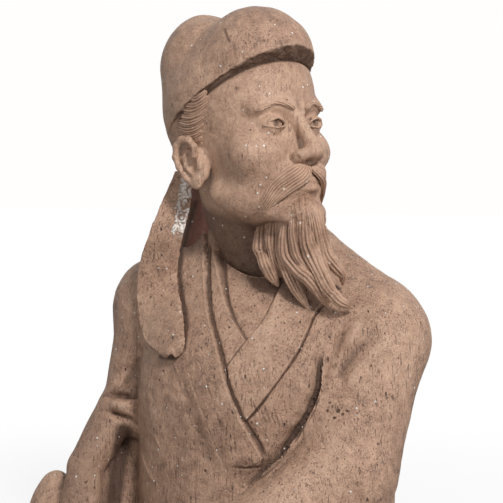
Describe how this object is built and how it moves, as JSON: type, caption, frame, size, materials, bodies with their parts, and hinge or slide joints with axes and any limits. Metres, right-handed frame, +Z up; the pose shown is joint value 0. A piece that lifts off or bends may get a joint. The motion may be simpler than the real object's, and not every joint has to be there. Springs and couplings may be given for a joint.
{
  "type": "statue",
  "caption": "Half-length fibreglass statue of a robed elder in a soft cap with long tails, head turned to the left, beard and crossed collar, hollow and open underneath",
  "frame": {"origin": "centre of the footprint's box, at the flat lower rim", "axes": "+Z up, -Y the way the chest faces, +X towards the figure's own left"},
  "size_m": [0.4978, 0.314, 0.6521],
  "materials": {
    "clay_brown_resin": "matte clay-brown surface coat on glass-fibre laminate, with fine tool marks"
  },
  "bodies": {
    "root": {"statue": "clay_brown_resin"}
  },
  "joints": []
}
